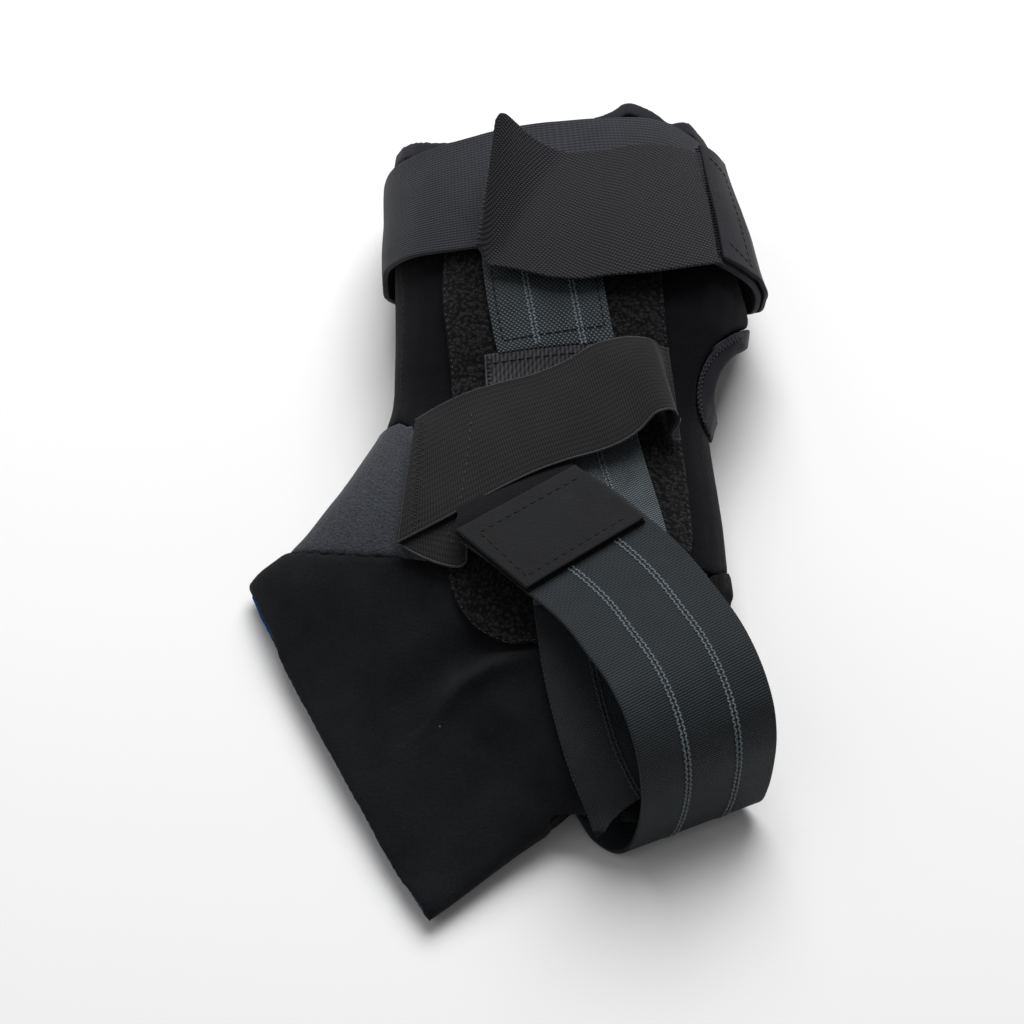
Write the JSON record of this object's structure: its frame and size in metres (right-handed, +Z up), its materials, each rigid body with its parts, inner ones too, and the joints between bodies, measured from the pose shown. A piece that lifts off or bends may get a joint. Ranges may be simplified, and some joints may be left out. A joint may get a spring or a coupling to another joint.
{
  "type": "ankle support",
  "caption": "Fabric ankle support lying on its side: a hollow leg and foot sleeve with a calf band, side webbing, an elastic strap and a looped heel strap.",
  "frame": {"origin": "bottom centre of the whole object's box, on the surface that it lies on", "axes": "+X from the instep to the heel, +Y from the sole up the leg, +Z up from the surface, out of the near side"},
  "size_m": [0.1606, 0.253, 0.0821],
  "materials": {
    "sleeve_cloth": "matte",
    "foot_cloth": "matte",
    "gusset_knit": "matte",
    "blue_lining": "matte",
    "loop_pile": "matte",
    "binding_tape": "matte",
    "webbing": "matte",
    "elastic_tape": "matte",
    "band_elastic": "matte",
    "band_twill": "matte",
    "hook_tab": "satin",
    "thread": "matte"
  },
  "bodies": {
    "root": {"leg_sleeve": "sleeve_cloth", "instep_gusset": "gusset_knit", "foot_sleeve": "foot_cloth", "foot_lining": "blue_lining", "top_binding": "binding_tape", "heel_binding": "binding_tape", "notch_binding": "binding_tape", "side_pile_panel": "loop_pile", "upper_webbing": "webbing", "ribbed_tape": "elastic_tape", "side_webbing": "webbing", "elastic_strap": "elastic_tape", "elastic_under_layer": "elastic_tape", "calf_band": "band_elastic", "band_flap": "band_twill", "band_hook_tab": "hook_tab", "heel_strap_loop": "webbing", "loop_hook_tab": "hook_tab"}
  },
  "joints": []
}
